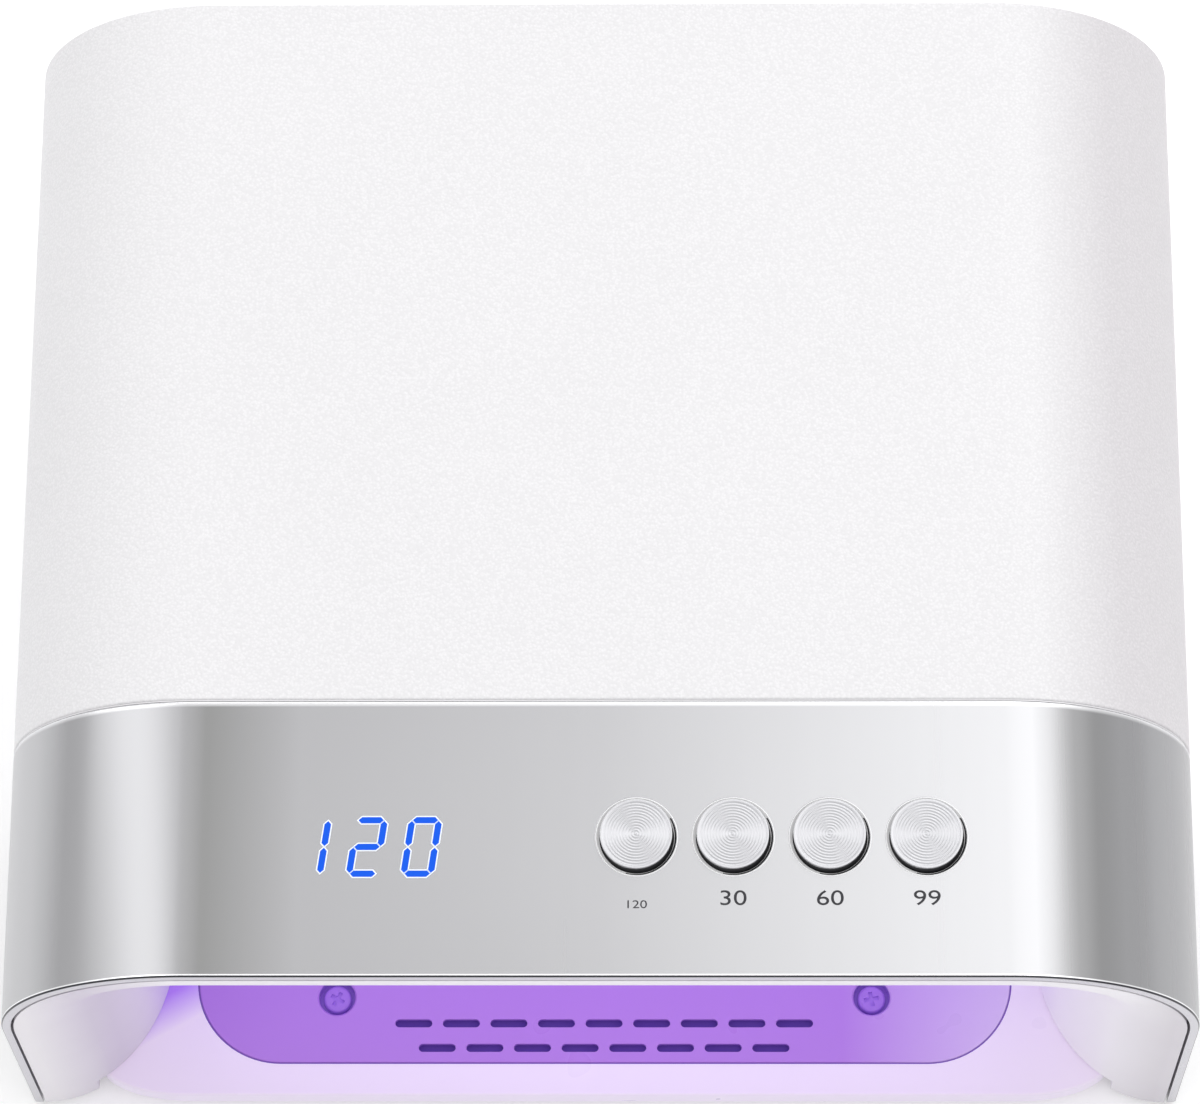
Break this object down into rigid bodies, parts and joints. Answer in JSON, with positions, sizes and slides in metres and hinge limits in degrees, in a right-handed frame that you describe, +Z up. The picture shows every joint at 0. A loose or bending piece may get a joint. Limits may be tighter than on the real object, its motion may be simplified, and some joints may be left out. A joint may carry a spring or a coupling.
{
  "type": "uv nail lamp",
  "caption": "Arched desktop nail-curing lamp with a leather-wrapped housing, metal front band, timer display, push buttons, lit hand tunnel and slide-out base tray.",
  "frame": {"origin": "centre of the bounding box's base, on the surface that the rubber feet stand on", "axes": "+Z up, the hand tunnel opens towards -Y, +X is to the right of someone who faces the buttons"},
  "size_m": [0.23, 0.201, 0.094],
  "materials": {
    "white_plastic": "satin moulded",
    "white_leather": "fine pebble grain",
    "band_metal": "satin with polished edge",
    "liner_plastic": "smooth",
    "lilac_tray": "smooth",
    "violet_panel": "smooth",
    "black_plastic": "fine texture",
    "circuit_board": "solder mask",
    "display_blue": "lit figures",
    "light_board": "white solder mask",
    "screw_steel": "zinc plated",
    "magnet_nickel": "nickel plated",
    "cap_metal": "turned rings",
    "foot_rubber": "matt"
  },
  "bodies": {
    "housing": {"outer_shell": "white_plastic", "leather_wrap": "white_leather", "front_band": "band_metal", "inner_liner": "liner_plastic", "rear_panel": "white_plastic", "side_rail_left": "white_plastic", "side_rail_right": "white_plastic", "button_carrier": "black_plastic", "control_board": "circuit_board", "display_module": "display_blue", "light_board_top": "light_board", "light_board_left": "light_board", "light_board_right": "light_board", "driver_board": "circuit_board", "light_lead": "black_plastic", "control_lead": "black_plastic", "jack_lead": "black_plastic", "fan_lead": "black_plastic", "light_flex_left": "circuit_board", "light_flex_right": "circuit_board", "dc_jack": "black_plastic", "dc_jack_nut": "screw_steel", "fan_frame": "black_plastic", "tray_magnet_left": "magnet_nickel", "tray_magnet_right": "magnet_nickel", "tact_switch_1": "black_plastic", "tact_switch_2": "black_plastic", "tact_switch_3": "black_plastic", "tact_switch_4": "black_plastic", "rubber_foot_1": "foot_rubber", "rubber_foot_2": "foot_rubber", "rubber_foot_3": "foot_rubber", "rubber_foot_4": "foot_rubber", "rear_screw_1": "screw_steel", "rear_screw_2": "screw_steel", "rear_screw_3": "screw_steel", "rear_screw_4": "screw_steel", "fan_screw_1": "screw_steel", "fan_screw_2": "screw_steel", "fan_screw_3": "screw_steel", "fan_screw_4": "screw_steel", "board_screw_1": "screw_steel", "board_screw_2": "screw_steel"},
    "tray": {"base_tray": "lilac_tray", "floor_panel": "violet_panel", "tray_keeper_left": "screw_steel", "tray_keeper_right": "screw_steel", "panel_screw_1": "screw_steel", "panel_screw_2": "screw_steel", "panel_screw_3": "screw_steel", "panel_screw_4": "screw_steel"},
    "fan": {"fan_rotor": "black_plastic"},
    "button_1": {"button_cap_1": "cap_metal", "switch_plunger_1": "black_plastic"},
    "button_2": {"button_cap_2": "cap_metal", "switch_plunger_2": "black_plastic"},
    "button_3": {"button_cap_3": "cap_metal", "switch_plunger_3": "black_plastic"},
    "button_4": {"button_cap_4": "cap_metal", "switch_plunger_4": "black_plastic"}
  },
  "joints": [
    {"name": "tray_slide", "type": "slide", "parent": "housing", "child": "tray", "axis": [0, -1, 0], "range_m": [0, 0.2]},
    {"name": "fan_spin", "type": "hinge", "parent": "housing", "child": "fan", "pos_m": [0, 0.0903, 0.03875], "axis": [0, 1, 0], "continuous": true},
    {"name": "button_1_press", "type": "slide", "parent": "housing", "child": "button_1", "axis": [0, 0, -1], "range_m": [0, 0.0008], "stiffness_N_per_m": 2000, "springref_m": -0.0001},
    {"name": "button_2_press", "type": "slide", "parent": "housing", "child": "button_2", "axis": [0, 0, -1], "range_m": [0, 0.0008], "stiffness_N_per_m": 2000, "springref_m": -0.0001},
    {"name": "button_3_press", "type": "slide", "parent": "housing", "child": "button_3", "axis": [0, 0, -1], "range_m": [0, 0.0008], "stiffness_N_per_m": 2000, "springref_m": -0.0001},
    {"name": "button_4_press", "type": "slide", "parent": "housing", "child": "button_4", "axis": [0, 0, -1], "range_m": [0, 0.0008], "stiffness_N_per_m": 2000, "springref_m": -0.0001}
  ]
}
